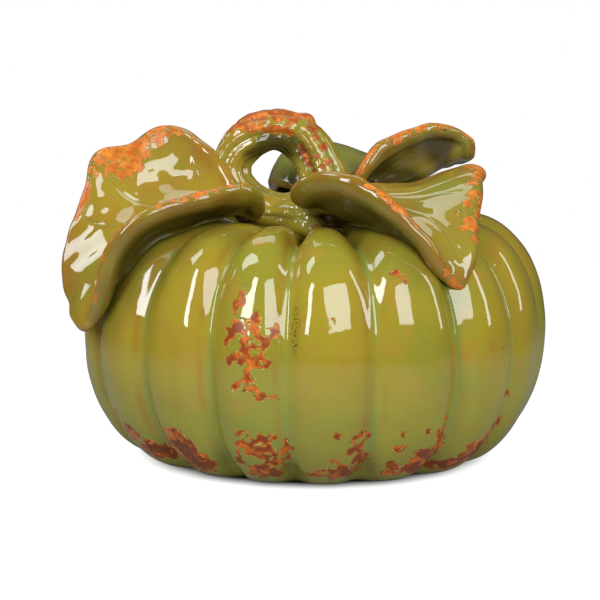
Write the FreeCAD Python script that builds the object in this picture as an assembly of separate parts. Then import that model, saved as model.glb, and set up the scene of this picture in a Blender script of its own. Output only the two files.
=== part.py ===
"""Ceramic pumpkin with a looped stem and four ivy-shaped leaves.

The body is a slip-cast shell; the stem and the leaves are formed by hand and pressed on while soft. Every
piece is clay, so each one is a smooth cubic spline skin over a small net of points.
Millimetres, +Z up, -Y towards the viewer. The origin is on the ground, at the centre of the foot ring.
"""
import FreeCAD, Part
import os
from math import cos, hypot, pi, radians, sin, sqrt

Vector = FreeCAD.Vector

# Body: a hollow slip-cast shell with ribs.
RIBS = 17
RIB_START = radians(-6.0)       # direction of the first groove, from -Y towards +X
COLUMNS_PER_RIB = 6
WALL = 6.0
FOOT_RING_RADIUS = 80.0
FOOT_RING_WIDTH = 10.0
UNDERSIDE_RECESS = 4.0
FLOOR = 6.0
VENT_RADIUS = 4.0
DIMPLE_RADIUS = 8.0
DIMPLE_HEIGHT = 114.0
# Unevenness round the body: (share, waves per turn, phase) of the grooves' places and of the radius.
RIB_DRIFT = [(0.018, 2, 0.6), (0.012, 5, 1.9)]
RADIUS_WAVES = [(0.006, 1, 0.0), (0.008, 3, 0.4), (0.005, 7, 2.0)]
# A groove is a blunt V: the softness rounds its bottom, the sharpness narrows it.
GROOVE_SOFTNESS = 0.02
GROOVE_SHARPNESS = 1.5
# Inside, the floor runs flat to this radius and meets the wall at the next row.
CAVITY_FLOOR = [(DIMPLE_RADIUS, 0), (50, 0), (88, 1.5)]
# Each row is (radius of the rib crest, height, depth of the groove), from the foot up into the dimple.
CREST = [
    (FOOT_RING_RADIUS, 0, 0), (90, 0, 1.5), (105.5, 2.5, 6.5), (123, 21, 7.5), (134.5, 50, 7.5),
    (136, 84, 8), (127, 115.5, 9.5), (108.5, 136.5, 12), (84, 142.5, 14), (54, 138, 13),
    (34, 126, 9), (18, 116, 4), (DIMPLE_RADIUS, DIMPLE_HEIGHT, 0),
]

# Stem loop: one thick fluted coil bent into a ring. Each row is (x, y, z, radius of the coil).
LOOP = [
    (7, -2, 152, 15), (3.5, 1, 167, 14.3), (-4.5, 1, 179, 12.7), (-17, 0, 189, 12), (-33, -1, 187.5, 12),
    (-46, -1, 178, 11.4), (-50, -2, 163, 10.6), (-43, -6, 148, 12), (-24, -10, 138, 13.5),
    (-6, -10, 138, 14),
]
FLUTES = 5
FLUTE_DEPTH = 0.16              # share of the coil's radius
FLUTE_PHASE = 0.35
FLUTE_SOFTNESS = 0.01
FLUTE_SHARPNESS = 1.3
LOOP_SECTIONS = 30
LOOP_COLUMNS = 20

# Stem foot: a wad of clay with toes that spread over the ribs.
# Each row is (radius, height, share of the toes).
FOOT_CENTRE = (-6.0, -4.0)
FOOT_PROFILE = [
    (25, 112, 0), (29, 120, 0.2), (34, 132, 1), (31, 143, 1), (22, 148, 0.7), (14, 150, 0.3), (5, 150, 0),
]
TOES = 6
TOE_DEPTH = 0.22
TOE_TWIST = 1.1
TOE_PHASE = 0.35
TOE_MIDDLE = 0.45               # the toes swell beyond this and hollow below it
FOOT_COLUMNS = 36

# Leaves: slabs rolled out, folded along the midrib and pressed down on the ribs. Each row runs across the
# upper face: far edge, far half, midrib, near half, near edge. The rows go from the stem to the tip.
LEAF_THICKNESS = 6.0
LEAF_SQUARENESS = 3.0           # 2 is an oval outline, larger values fill the corners of the net
LEAF_COLUMNS = 40
# Rings of points from the middle of a face to its edge, as shares of the way, then the rounded rim.
LEAF_RINGS = [0.08, 0.3, 0.52, 0.72, 0.88, 0.97]
INNER_SHARE = 0.9               # a ring's normals are taken this much nearer the middle
RIM_OUTSET = 0.4                # how far the rim stands out, and how high its two rings are, as
RIM_LEVELS = (0.85, 0.15)       # shares of the leaf's thickness
LEAVES = {
    "leaf_left": [
        [(-45, -20, 150), (-40, -24, 148), (-34, -30, 147), (-33, -41, 148), (-21, -44, 164)],
        [(-42, -20, 163), (-43, -24, 152), (-44, -30, 146), (-33, -46, 147), (-27, -52, 173)],
        [(-60, -8, 182), (-62, -6, 163), (-62, -24, 147), (-43, -51, 145), (-40, -63, 168)],
        [(-95, 20, 196), (-91, 2, 168), (-86, -28, 147), (-58, -61, 140), (-66, -75, 159)],
        [(-105, 8, 171), (-103, -9, 150), (-102, -35, 142), (-74, -75, 135), (-91, -82, 150)],
        [(-130, 6, 180), (-123, -14, 150), (-118, -45, 132), (-89, -80, 127), (-110, -84, 138)],
        [(-133, -6, 147), (-127, -27, 129), (-127, -54, 118), (-107, -73, 106), (-122, -81, 118)],
        [(-161, -16, 114), (-142, -36, 107), (-130, -60, 102), (-121, -66, 90), (-127, -75, 99)],
        [(-146, -38, 84), (-138, -52, 84), (-129, -66, 84), (-126, -65, 87), (-127, -66, 86)],
    ],
    "leaf_right": [
        [(9, -8, 154), (10, -14, 152), (14, -17, 148), (-4, -50, 156), (-27, -52, 168)],
        [(26, -2, 159), (25, -16, 157), (26, -27, 149), (-3, -60, 149), (-23, -60, 176)],
        [(45, 0, 156), (43, -21, 158), (42, -40, 149), (3, -73, 144), (-6, -74, 176)],
        [(64, 0, 158), (61, -28, 159), (59, -54, 148), (12, -86, 139), (19, -90, 170)],
        [(86, -8, 172), (79, -39, 165), (74, -66, 146), (33, -91, 138), (39, -98, 159)],
        [(102, -20, 167), (94, -50, 158), (83, -77, 140), (50, -96, 132), (53, -103, 146)],
        [(85, -46, 143), (91, -66, 138), (88, -87, 130), (62, -99, 123), (66, -105, 133)],
        [(91, -66, 126), (92, -79, 126), (87, -95, 123), (70, -101, 115), (72, -102, 123)],
        [(77, -78, 110), (81, -88, 111), (82, -95, 112), (75, -98, 111), (75, -99, 115)],
    ],
    "leaf_back_right": [
        [(18, 52, 160), (17, 31, 156), (15, 10, 148), (18, 12, 143), (20, 16, 148)],
        [(31, 66, 162), (30, 42, 159), (28, 20, 149), (19, 26, 150), (20, 17, 156)],
        [(46, 76, 161), (46, 52, 160), (44, 31, 150), (29, 37, 157), (28, 21, 170)],
        [(62, 84, 160), (61, 62, 162), (61, 41, 152), (46, 47, 165), (44, 29, 181)],
        [(74, 86, 167), (74, 67, 169), (78, 49, 161), (68, 52, 173), (66, 38, 189)],
        [(81, 82, 170), (83, 66, 172), (88, 51, 169), (88, 53, 179), (88, 48, 190.5)],
        [(84, 78, 171), (89, 64, 172), (94, 50, 172), (94, 53, 176), (95, 56, 179)],
    ],
    "leaf_back": [
        [(-9, 18, 142), (-3, 18, 145), (3, 18, 147), (9, 18, 146), (15, 20, 143)],
        [(-20, 34, 150), (-12, 33, 160), (2, 32, 166), (16, 32, 162), (26, 32, 156)],
        [(-27, 56, 152), (-20, 56, 172), (2, 56, 181), (22, 56, 172), (36, 55, 164)],
        [(-29, 80, 153), (-20, 82, 174), (4, 84, 182), (28, 82, 171), (44, 80, 165)],
        [(-28, 104, 147), (-18, 106, 160), (4, 108, 169), (28, 106, 162), (42, 102, 153)],
        [(-26, 120, 130), (-18, 122, 138), (-4, 124, 144), (12, 123, 140), (28, 118, 132)],
        [(-20, 126, 111), (-18, 127, 114), (-12, 128, 116), (-4, 127, 114), (6, 124, 111)],
    ],
}


def clamped(count):
    """Knots and multiplicities of a clamped cubic through `count` poles."""
    knots = list(range(count - 2))
    return knots, [4] + [1] * (count - 4) + [4]


def periodic(count):
    """Knots and multiplicities of a closed cubic through `count` poles."""
    return list(range(count + 1)), [1] * (count + 1)


def spline_skin(net, closed_along=False, closed_across=True):
    """Cubic spline surface over a net of rows of points."""
    rows, row_counts = periodic(len(net)) if closed_along else clamped(len(net))
    columns, column_counts = periodic(len(net[0])) if closed_across else clamped(len(net[0]))
    skin = Part.BSplineSurface()
    skin.buildFromPolesMultsKnots(
        net, row_counts, column_counts, rows, columns, closed_along, closed_across, 3, 3)
    return skin


def lidded_solid(net):
    """Solid from a net whose first and last rows are flat rings, each closed with a flat lid."""
    side = spline_skin(net).toShape()
    ends = [edge for edge in side.Edges if edge.isClosed() and not edge.isSeam(side)]
    lids = [Part.Face(Part.Wire([edge])) for edge in ends]
    shell = Part.makeShell([side] + lids)
    shell.sewShape()
    solid = Part.Solid(shell)
    if solid.Volume < 0:
        solid.reverse()
    return solid


def largest_solid(shape):
    return max(shape.Solids, key=lambda solid: solid.Volume)


def around(angle, radius, height, centre=(0.0, 0.0)):
    """Point at an angle measured from -Y towards +X."""
    return Vector(centre[0] + radius * sin(angle), centre[1] - radius * cos(angle), height)


def waves(terms, angle):
    return sum(share * sin(count * angle + phase) for share, count, phase in terms)


def groove(angle):
    """1 at the bottom of a groove between two ribs, close to 0 over the crest."""
    drift = waves(RIB_DRIFT, angle)
    wave = sqrt(sin(RIBS * (angle + drift - RIB_START) / 2) ** 2 + GROOVE_SOFTNESS)
    return (1 - min(wave, 1)) ** GROOVE_SHARPNESS


def ribbed_net(rows):
    """Rings of points for a ribbed skin over rows of (crest radius, height, groove depth)."""
    columns = RIBS * COLUMNS_PER_RIB
    last = len(rows) - 1
    net = []
    for i, (radius, height, depth) in enumerate(rows):
        before = rows[max(i - 1, 0)]
        after = rows[min(i + 1, last)]
        run, rise = after[0] - before[0], after[1] - before[1]
        length = hypot(run, rise)
        inward, down = rise / length * depth, -run / length * depth
        ring = []
        for k in range(columns):
            angle = 2 * pi * k / columns
            dent = groove(angle)
            uneven = 1 + waves(RADIUS_WAVES, angle)
            ring.append(around(angle, (radius - dent * inward) * uneven, height - dent * down))
        net.append(ring)
    return net


def cavity_rows():
    """The crest rows moved in by the wall, closed with a floor over the recessed underside."""
    floor = UNDERSIDE_RECESS + FLOOR
    rows = [(radius, floor, depth) for radius, depth in CAVITY_FLOOR]
    for i in range(len(CAVITY_FLOOR), len(CREST) - 1):
        run, rise = CREST[i + 1][0] - CREST[i - 1][0], CREST[i + 1][1] - CREST[i - 1][1]
        length = hypot(run, rise)
        radius, height, depth = CREST[i]
        rows.append((radius - WALL * rise / length, height + WALL * run / length, depth))
    rows.append((DIMPLE_RADIUS, DIMPLE_HEIGHT - WALL, 0))
    return rows


def pumpkin_body():
    shell = lidded_solid(ribbed_net(CREST)).cut(lidded_solid(ribbed_net(cavity_rows())))
    inner = FOOT_RING_RADIUS - FOOT_RING_WIDTH
    recess = Part.makeCone(inner, inner - UNDERSIDE_RECESS, UNDERSIDE_RECESS)
    vent = Part.makeCylinder(VENT_RADIUS, UNDERSIDE_RECESS + 2 * FLOOR)
    return largest_solid(shell.cut(recess).cut(vent))


def stem_loop():
    knots, counts = periodic(len(LOOP))
    centre = Part.BSplineCurve()
    centre.buildFromPolesMultsKnots([Vector(*row[:3]) for row in LOOP], counts, knots, True, 3)
    thickness = Part.BSplineCurve()
    thickness.buildFromPolesMultsKnots([Vector(row[3], 0, 0) for row in LOOP], counts, knots, True, 3)
    net = []
    for i in range(LOOP_SECTIONS):
        place = len(LOOP) * i / LOOP_SECTIONS
        middle = centre.value(place)
        outward = Vector(0, 1, 0).cross(centre.tangent(place)[0]).normalize()
        sideways = centre.tangent(place)[0].cross(outward)
        ring = []
        for k in range(LOOP_COLUMNS):
            angle = 2 * pi * k / LOOP_COLUMNS
            wave = sqrt(sin(FLUTES / 2 * (angle + FLUTE_PHASE)) ** 2 + FLUTE_SOFTNESS)
            crease = max(0.0, 1 - wave) ** FLUTE_SHARPNESS
            radius = thickness.value(place).x * (1 - FLUTE_DEPTH * crease)
            ring.append(middle + outward * (radius * cos(angle)) + sideways * (radius * sin(angle)))
        net.append(ring)
    solid = Part.Solid(Part.Shell([spline_skin(net, closed_along=True).toShape()]))
    if solid.Volume < 0:
        solid.reverse()
    return solid


def stem_foot():
    net = []
    for i, (radius, height, share) in enumerate(FOOT_PROFILE):
        twist = TOE_TWIST * (1 - i / (len(FOOT_PROFILE) - 1))
        ring = []
        for k in range(FOOT_COLUMNS):
            angle = 2 * pi * k / FOOT_COLUMNS
            toe = 0.5 + 0.5 * cos(TOES * (angle + twist + TOE_PHASE))
            swell = 1 + TOE_DEPTH * share * (toe - TOE_MIDDLE)
            ring.append(around(angle, radius * swell, height, FOOT_CENTRE))
        net.append(ring)
    return lidded_solid(net)


def leaf_place(face, angle, reach):
    """Parameters on the face at a share `reach` of the way from its middle to the leaf's outline."""
    power = LEAF_SQUARENESS
    size = (abs(cos(angle)) ** power + abs(sin(angle)) ** power) ** (1 / power)
    along = (1 + reach * cos(angle) / size) / 2 * (face.NbUPoles - 3)
    across = (1 + reach * sin(angle) / size) / 2 * (face.NbVPoles - 3)
    return along, across


def leaf_ring(face, reach, drop, outset=0.0):
    """Ring of points round the leaf, `drop` below the upper face and moved out sideways by `outset`."""
    ring = []
    for k in range(LEAF_COLUMNS):
        angle = 2 * pi * k / LEAF_COLUMNS
        inner = leaf_place(face, angle, INNER_SHARE * reach)
        point = face.value(*leaf_place(face, angle, reach))
        normal = face.normal(*inner)
        edgeward = point - face.value(*inner)
        edgeward = (edgeward - normal * edgeward.dot(normal)).normalize()
        ring.append(point - normal * drop + edgeward * outset)
    return ring


def flattened(ring):
    """The ring pressed flat, so that a lid fits it."""
    count = len(ring)
    middle = Vector()
    for point in ring:
        middle += point * (1 / count)
    normal = Vector()
    for k in range(count):
        normal += (ring[k] - middle).cross(ring[(k + 1) % count] - middle)
    normal.normalize()
    return [point - normal * (point - middle).dot(normal) for point in ring]


def leaf(rows):
    net = [[Vector(*point) for point in row] for row in rows]
    face = spline_skin(net, closed_across=False)
    if face.normal(len(rows) / 2 - 1.5, 1.0).z < 0:
        face = spline_skin([row[::-1] for row in net], closed_across=False)
    net = [leaf_ring(face, reach, LEAF_THICKNESS) for reach in LEAF_RINGS]
    outset = RIM_OUTSET * LEAF_THICKNESS
    net += [leaf_ring(face, 1.0, level * LEAF_THICKNESS, outset) for level in RIM_LEVELS]
    net += [leaf_ring(face, reach, 0.0) for reach in reversed(LEAF_RINGS)]
    net[0] = flattened(net[0])
    net[-1] = flattened(net[-1])
    return lidded_solid(net)


def fitted(solid, neighbours):
    """The piece with everything that its neighbours already fill pressed out of it."""
    for other in neighbours:
        if solid.BoundBox.intersect(other.BoundBox) and solid.common(other).Volume > 0:
            solid = largest_solid(solid.cut(other))
    return solid


def build():
    pieces = {"pumpkin_body": pumpkin_body(), "stem_loop": stem_loop()}
    pieces["stem_foot"] = fitted(stem_foot(), list(pieces.values()))
    for name, rows in LEAVES.items():
        pieces[name] = fitted(leaf(rows), list(pieces.values()))
    return pieces


os.makedirs("parts", exist_ok=True)
for name, solid in build().items():
    solid.exportStep("parts/" + name + ".step")
    print(name, solid.isValid(), round(solid.Volume / 1000, 1), "cm3", solid.BoundBox)
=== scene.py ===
from math import cos, pi, radians, sin

import bpy
import numpy as np
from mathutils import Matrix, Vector


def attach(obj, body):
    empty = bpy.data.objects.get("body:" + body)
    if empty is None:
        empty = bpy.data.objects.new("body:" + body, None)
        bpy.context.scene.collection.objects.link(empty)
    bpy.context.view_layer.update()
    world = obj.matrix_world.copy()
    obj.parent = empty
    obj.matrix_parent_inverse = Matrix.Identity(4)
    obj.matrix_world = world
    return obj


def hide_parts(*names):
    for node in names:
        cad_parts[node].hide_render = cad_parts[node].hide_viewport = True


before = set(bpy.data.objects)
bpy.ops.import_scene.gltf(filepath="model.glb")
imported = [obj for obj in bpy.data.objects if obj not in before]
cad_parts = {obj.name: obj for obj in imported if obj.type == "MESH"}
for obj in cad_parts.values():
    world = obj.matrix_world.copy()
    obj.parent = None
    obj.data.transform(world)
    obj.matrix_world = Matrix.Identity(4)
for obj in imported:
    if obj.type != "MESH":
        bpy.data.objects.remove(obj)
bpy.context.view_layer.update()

MM = 0.001

# ---------------------------------------------------------------- sizes, in millimetres

RIBS = 17
RIB_START = radians(-6.0)
WALL = 6.0
FOOT_RING_RADIUS = 80.0
FOOT_RING_WIDTH = 10.0
UNDERSIDE_RECESS = 4.0
BOTTOM_WALL = 6.0
VENT_RADIUS = 4.0
DIMPLE_RADIUS = 8.0
DIMPLE_HEIGHT = 114.0
# (radius of the rib crest, height, depth of the groove)
CREST = [
    (FOOT_RING_RADIUS, 0, 0), (90, 0, 1.5), (105.5, 2.5, 6.5), (123, 21, 7.5), (134.5, 50, 7.5),
    (136, 84, 8), (127, 115.5, 9.5), (108.5, 136.5, 12), (84, 142.5, 14), (54, 138, 13),
    (34, 126, 9), (18, 116, 4), (DIMPLE_RADIUS, DIMPLE_HEIGHT, 0),
]
# Strengths of the slow waves round the body that keep its ribs from being all alike: (size, count, phase)
RADIUS_WAVES = [(0.006, 1, 0.0), (0.008, 3, 0.4), (0.005, 7, 2.0)]

# Stem loop: (x, y, z, radius of the coil)
LOOP = [
    (7, -2, 152, 15), (3.5, 1, 167, 14.3), (-4.5, 1, 179, 12.7), (-17, 0, 189, 12),
    (-33, -1, 187.5, 12), (-46, -1, 178, 11.4), (-50, -2, 163, 10.6), (-43, -6, 148, 12),
    (-24, -10, 138, 13.5), (-6, -10, 138, 14),
]
FLUTES = 5
FLUTE_DEPTH = 0.2

FOOT_CENTRE = (-6.0, -4.0)
FOOT_PROFILE = [
    (25, 112, 0), (29, 120, 0.2), (34, 132, 1), (31, 143, 1), (22, 148, 0.7), (14, 150, 0.3), (5, 150, 0),
]
TOES = 6
TOE_DEPTH = 0.22
TOE_TWIST = 1.1

LEAF_THICKNESS = 6.0
LEAF_SQUARENESS = 3.0

# Fineness of the meshes
BODY_COLUMNS = 36 * RIBS
BODY_ROWS = 128
CAVITY_ROWS = 20
LOOP_SECTIONS, LOOP_COLUMNS = 520, 180
FOOT_ROWS, FOOT_COLUMNS = 190, 380
LEAF_ROWS, LEAF_COLUMNS = 190, 150
LEAF_RIM_SEGMENTS = 10
VEIN_STEPS = 120

# Rows from the stem to the tip; across each: far edge, far half, midrib, near half, near edge.
LEAVES = {
    "leaf_left": [
        [(-45, -20, 150), (-40, -24, 148), (-34, -30, 147), (-33, -41, 148), (-21, -44, 164)],
        [(-42, -20, 163), (-43, -24, 152), (-44, -30, 146), (-33, -46, 147), (-27, -52, 173)],
        [(-60, -8, 182), (-62, -6, 163), (-62, -24, 147), (-43, -51, 145), (-40, -63, 168)],
        [(-95, 20, 196), (-91, 2, 168), (-86, -28, 147), (-58, -61, 140), (-66, -75, 159)],
        [(-105, 8, 171), (-103, -9, 150), (-102, -35, 142), (-74, -75, 135), (-91, -82, 150)],
        [(-130, 6, 180), (-123, -14, 150), (-118, -45, 132), (-89, -80, 127), (-110, -84, 138)],
        [(-133, -6, 147), (-127, -27, 129), (-127, -54, 118), (-107, -73, 106), (-122, -81, 118)],
        [(-161, -16, 114), (-142, -36, 107), (-130, -60, 102), (-121, -66, 90), (-127, -75, 99)],
        [(-146, -38, 84), (-138, -52, 84), (-129, -66, 84), (-126, -65, 87), (-127, -66, 86)],
    ],
    "leaf_right": [
        [(9, -8, 154), (10, -14, 152), (14, -17, 148), (-4, -50, 156), (-27, -52, 168)],
        [(26, -2, 159), (25, -16, 157), (26, -27, 149), (-3, -60, 149), (-23, -60, 176)],
        [(45, 0, 156), (43, -21, 158), (42, -40, 149), (3, -73, 144), (-6, -74, 176)],
        [(64, 0, 158), (61, -28, 159), (59, -54, 148), (12, -86, 139), (19, -90, 170)],
        [(86, -8, 172), (79, -39, 165), (74, -66, 146), (33, -91, 138), (39, -98, 159)],
        [(102, -20, 167), (94, -50, 158), (83, -77, 140), (50, -96, 132), (53, -103, 146)],
        [(85, -46, 143), (91, -66, 138), (88, -87, 130), (62, -99, 123), (66, -105, 133)],
        [(91, -66, 126), (92, -79, 126), (87, -95, 123), (70, -101, 115), (72, -102, 123)],
        [(77, -78, 110), (81, -88, 111), (82, -95, 112), (75, -98, 111), (75, -99, 115)],
    ],
    "leaf_back_right": [
        [(18, 52, 160), (17, 31, 156), (15, 10, 148), (18, 12, 143), (20, 16, 148)],
        [(31, 66, 162), (30, 42, 159), (28, 20, 149), (19, 26, 150), (20, 17, 156)],
        [(46, 76, 161), (46, 52, 160), (44, 31, 150), (29, 37, 157), (28, 21, 170)],
        [(62, 84, 160), (61, 62, 162), (61, 41, 152), (46, 47, 165), (44, 29, 181)],
        [(74, 86, 167), (74, 67, 169), (78, 49, 161), (68, 52, 173), (66, 38, 189)],
        [(81, 82, 170), (83, 66, 172), (88, 51, 169), (88, 53, 179), (88, 48, 190.5)],
        [(84, 78, 171), (89, 64, 172), (94, 50, 172), (94, 53, 176), (95, 56, 179)],
    ],
    "leaf_back": [
        [(-9, 18, 142), (-3, 18, 145), (3, 18, 147), (9, 18, 146), (15, 20, 143)],
        [(-20, 34, 150), (-12, 33, 160), (2, 32, 166), (16, 32, 162), (26, 32, 156)],
        [(-27, 56, 152), (-20, 56, 172), (2, 56, 181), (22, 56, 172), (36, 55, 164)],
        [(-29, 80, 153), (-20, 82, 174), (4, 84, 182), (28, 82, 171), (44, 80, 165)],
        [(-28, 104, 147), (-18, 106, 160), (4, 108, 169), (28, 106, 162), (42, 102, 153)],
        [(-26, 120, 130), (-18, 122, 138), (-4, 124, 144), (12, 123, 140), (28, 118, 132)],
        [(-20, 126, 111), (-18, 127, 114), (-12, 128, 116), (-4, 127, 114), (6, 124, 111)],
    ],
}

# ---------------------------------------------------------------- splines and noise


def basis(count, t):
    """Weights of `count` control points on a clamped uniform cubic B-spline, t from 0 to 1."""
    knots = np.concatenate([[0] * 3, np.arange(count - 2), [count - 3] * 3]).astype(float)
    x = np.minimum(np.clip(t, 0, 1) * (count - 3), count - 3 - 1e-9)
    weights = np.stack([(knots[i] <= x) & (x < knots[i + 1]) for i in range(len(knots) - 1)])
    weights = weights.astype(float)
    for degree in range(1, 4):
        raised = np.zeros((len(weights) - 1,) + x.shape)
        for i in range(len(raised)):
            rise = knots[i + degree] - knots[i]
            fall = knots[i + degree + 1] - knots[i + 1]
            if rise > 0:
                raised[i] += (x - knots[i]) / rise * weights[i]
            if fall > 0:
                raised[i] += (knots[i + degree + 1] - x) / fall * weights[i + 1]
        weights = raised
    return np.moveaxis(weights, 0, -1)


def closed_basis(count, t, slope=False):
    """Weights of `count` control points on a closed uniform cubic B-spline, or of its first derivative."""
    x = (t % 1.0) * count
    first = np.floor(x).astype(int)
    f = x - first
    if slope:
        parts = [-(1 - f) ** 2 / 2, (9 * f ** 2 - 12 * f) / 6, (-9 * f ** 2 + 6 * f + 3) / 6, f ** 2 / 2]
    else:
        parts = [(1 - f) ** 3 / 6, (3 * f ** 3 - 6 * f ** 2 + 4) / 6,
                 (-3 * f ** 3 + 3 * f ** 2 + 3 * f + 1) / 6, f ** 3 / 6]
    weights = np.zeros(x.shape + (count,))
    for offset, part in enumerate(parts):
        index = (first + offset - 1) % count
        np.put_along_axis(weights, index[..., None], part[..., None], -1)
    return weights


def noise(points, size, seed, waves=14):
    """Smooth noise between about -1 and 1 over points in mm, with features about `size` mm across."""
    random = np.random.RandomState(seed)
    total = np.zeros(points.shape[:-1])
    for _ in range(waves):
        direction = random.normal(size=3)
        direction *= 2 * pi / size / np.linalg.norm(direction) * random.uniform(0.45, 1.1)
        total += np.sin(points @ direction + random.uniform(0, 2 * pi))
    return total / waves ** 0.5 * 0.8


def smooth(low, high, value):
    """Smooth rise from 0 at `low` to 1 at `high`; `low` may be the larger."""
    t = np.clip((value - low) / (high - low), 0, 1)
    return t * t * (3 - 2 * t)


def spots(points, places):
    """The strongest of soft round spots at (x, y, z, radius, strength), in mm."""
    total = np.zeros(points.shape[:-1])
    for x, y, z, radius, strength in places:
        gap = np.linalg.norm(points - np.array([x, y, z]), axis=-1) / radius
        total = np.maximum(total, strength * np.exp(-gap ** 2.4))
    return total


def unit(vectors):
    """The vectors scaled to length 1."""
    return vectors / np.maximum(np.linalg.norm(vectors, axis=-1, keepdims=True), 1e-12)


# ---------------------------------------------------------------- meshes

# Painted on the points of every piece: glaze worn back, glaze pooled (on the leaves also a painted
# reflection), rust-tinted flank, bare clay, painted shade, iron grains.
ATTRIBUTES = ("wear", "pool_and_sheen", "flank", "bare", "painted_shade", "iron")


def new_piece(name, points, faces, attributes, material, node):
    """A smooth-shaded mesh from points in mm, standing for a CAD node."""
    mesh = bpy.data.meshes.new(name)
    mesh.from_pydata((np.asarray(points) * MM).tolist(), [], faces)
    mesh.validate()
    for key in ATTRIBUTES:
        values = np.asarray(attributes.get(key, np.zeros(len(points))), dtype=np.float32)
        layer = mesh.attributes.new(key, "FLOAT", "POINT")
        layer.data.foreach_set("value", values)
    mesh.polygons.foreach_set("use_smooth", [True] * len(mesh.polygons))
    mesh.materials.append(material)
    piece = bpy.data.objects.new(name, mesh)
    bpy.context.collection.objects.link(piece)
    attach(piece, "root")
    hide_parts(node)
    return piece


def ring_faces(rows, columns, closed_rows=False):
    """Quads over a grid whose columns close on themselves."""
    faces = []
    for i in range(rows if closed_rows else rows - 1):
        a = i * columns
        b = ((i + 1) % rows) * columns
        for k in range(columns):
            n = (k + 1) % columns
            faces.append((a + k, a + n, b + n, b + k))
    return faces


def pole_faces(row_start, columns, pole, flip):
    """Triangles from a row of the grid to the one point that closes it."""
    faces = []
    for k in range(columns):
        n = row_start + (k + 1) % columns
        faces.append((row_start + k, pole, n) if flip else (row_start + k, n, pole))
    return faces


def grid_normals(points):
    """Unit normals of a grid of points whose columns close on themselves, towards columns x rows."""
    along = np.gradient(points, axis=0)
    across = np.roll(points, -1, 1) - np.roll(points, 1, 1)
    return unit(np.cross(across, along))


# ---------------------------------------------------------------- body


def rib_place(angle):
    """Where an angle lies across its rib: 0 at the groove, 0.5 on the crest, 1 at the next groove."""
    drift = 0.018 * np.sin(2 * angle + 0.6) + 0.012 * np.sin(5 * angle + 1.9)
    return RIBS * (angle + drift - RIB_START) / (2 * pi)


def groove(angle):
    """Depth of the rib groove at an angle, 0 on the crest and near 1 in the groove."""
    wave = np.sqrt(np.sin(pi * rib_place(angle)) ** 2 + 0.02)
    return np.clip(1 - wave, 0, 1) ** 1.5


def cavity_rows():
    """Rows of the sealed hollow, one wall thickness inside the crests."""
    floor = UNDERSIDE_RECESS + BOTTOM_WALL
    rows = [(DIMPLE_RADIUS, floor, 0), (50, floor, 0), (88, floor, 1.5)]
    for i in range(3, len(CREST) - 1):
        run, rise = CREST[i + 1][0] - CREST[i - 1][0], CREST[i + 1][1] - CREST[i - 1][1]
        length = (run * run + rise * rise) ** 0.5
        radius, height, depth = CREST[i]
        rows.append((radius - WALL * rise / length, height + WALL * run / length, depth))
    rows.append((DIMPLE_RADIUS, DIMPLE_HEIGHT - WALL, 0))
    return rows


def ribbed_grid(rows, t, angle):
    """Points of a ribbed skin over rows of (crest radius, height, groove depth)."""
    crest = np.asarray(rows, float)
    slope = unit(np.gradient(crest[:, :2], axis=0))
    push = np.stack([slope[:, 1], -slope[:, 0]], 1) * crest[:, 2:3]
    line = basis(len(rows), t) @ np.concatenate([crest[:, :2], push], 1)
    dent = groove(angle)[None, :]
    uneven = 1 + sum(size * np.sin(count * angle + phase) for size, count, phase in RADIUS_WAVES)[None, :]
    radius = (line[:, 0:1] - dent * line[:, 2:3]) * uneven
    height = line[:, 1:2] - dent * line[:, 3:4]
    return np.stack([radius * np.sin(angle), -radius * np.cos(angle), height + 0 * radius], -1)


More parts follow.
